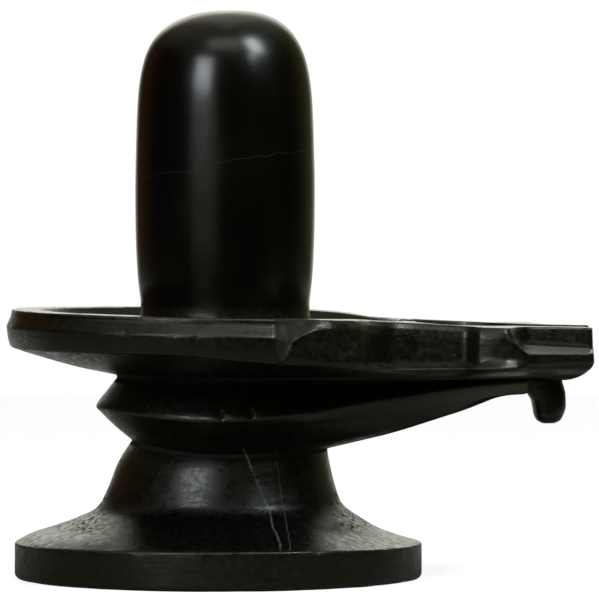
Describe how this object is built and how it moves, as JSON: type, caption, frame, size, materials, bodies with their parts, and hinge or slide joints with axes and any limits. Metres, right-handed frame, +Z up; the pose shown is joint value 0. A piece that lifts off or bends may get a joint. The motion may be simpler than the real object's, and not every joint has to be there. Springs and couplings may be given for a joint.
{
  "type": "carved stone shiva lingam with spouted yoni base",
  "caption": "Black stone shiva lingam carved in one piece: a domed shaft in a round basin with a spout, over a hull-shaped moulding with a hanging knob, on a flared round pedestal.",
  "frame": {"origin": "middle of the round foot's flat underside", "axes": "+Z up along the shaft, +X towards the spout's end, +Y to the side away from the rough notch in the plate's rim"},
  "size_m": [0.2081, 0.1548, 0.2],
  "materials": {
    "black_stone": "near-black stone with an olive tint, polished on the shaft and satin with file marks elsewhere"
  },
  "bodies": {
    "root": {"shiva_lingam": "black_stone"}
  },
  "joints": []
}
